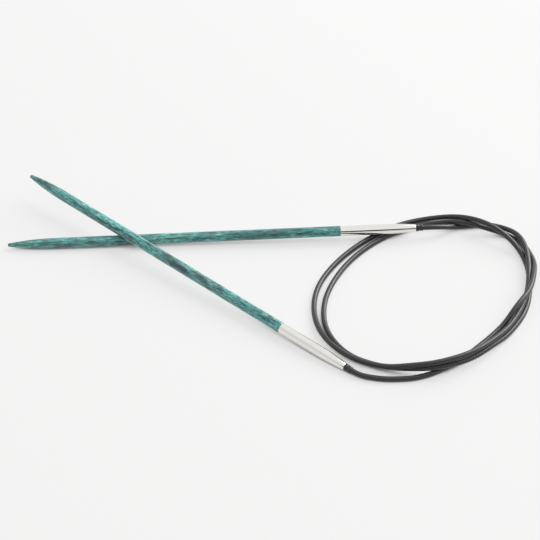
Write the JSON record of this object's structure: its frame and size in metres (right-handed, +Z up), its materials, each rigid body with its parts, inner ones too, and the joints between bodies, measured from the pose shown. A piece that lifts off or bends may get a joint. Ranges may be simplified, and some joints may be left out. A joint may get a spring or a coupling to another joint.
{
  "type": "circular knitting needle",
  "caption": "Fixed circular knitting needle: two dyed birch needle tips with metal ferrules that swivel on the ends of one flexible black nylon cable.",
  "frame": {"origin": "on the table, under the middle of the box round the two needles and their ferrules and collars; the loose cable is not counted", "axes": "+X from the needle points towards the cable's loops, nearly along the lower needle (B); +Z up, off the table; +Y level, away from the end where needle A's ferrule lies"},
  "size_m": [0.1631, 0.086, 0.0083],
  "materials": {
    "dyed_birch": "laminated, dyed teal, satin lacquer",
    "nickel_plate": "polished nickel plate on brass",
    "black_nylon": "extruded black nylon, semi-gloss",
    "black_collar": "moulded black nylon, semi-gloss",
    "brass_sleeve": "crimped bare brass"
  },
  "bodies": {
    "cable": {"cable": "black_nylon", "cable_collar_b": "black_collar", "cable_stop_b": "brass_sleeve"},
    "cable_end_a": {"cable_collar_a": "black_collar", "cable_stop_a": "brass_sleeve"},
    "needle_a": {"needle_tip_a": "dyed_birch", "ferrule_a": "nickel_plate"},
    "needle_b": {"needle_tip_b": "dyed_birch", "ferrule_b": "nickel_plate"}
  },
  "joints": [
    {"name": "cable_flex_a", "type": "hinge", "parent": "cable", "child": "cable_end_a", "pos_m": [0.052, -0.044, 0.00083], "axis": [0.6334, 0.7738, 0], "range_deg": [0, 75], "stiffness_Nm_per_rad": 0.027, "deforming": ["cable"]},
    {"name": "swivel_a", "type": "hinge", "parent": "cable_end_a", "child": "needle_a", "pos_m": [0.03838, -0.03923, 0.00125], "axis": [0.773, -0.6327, -0.0474], "continuous": true},
    {"name": "swivel_b", "type": "hinge", "parent": "cable", "child": "needle_b", "pos_m": [0.06228, 0.01982, 0.00354], "axis": [0.9988, 0.0454, 0.017], "continuous": true}
  ]
}
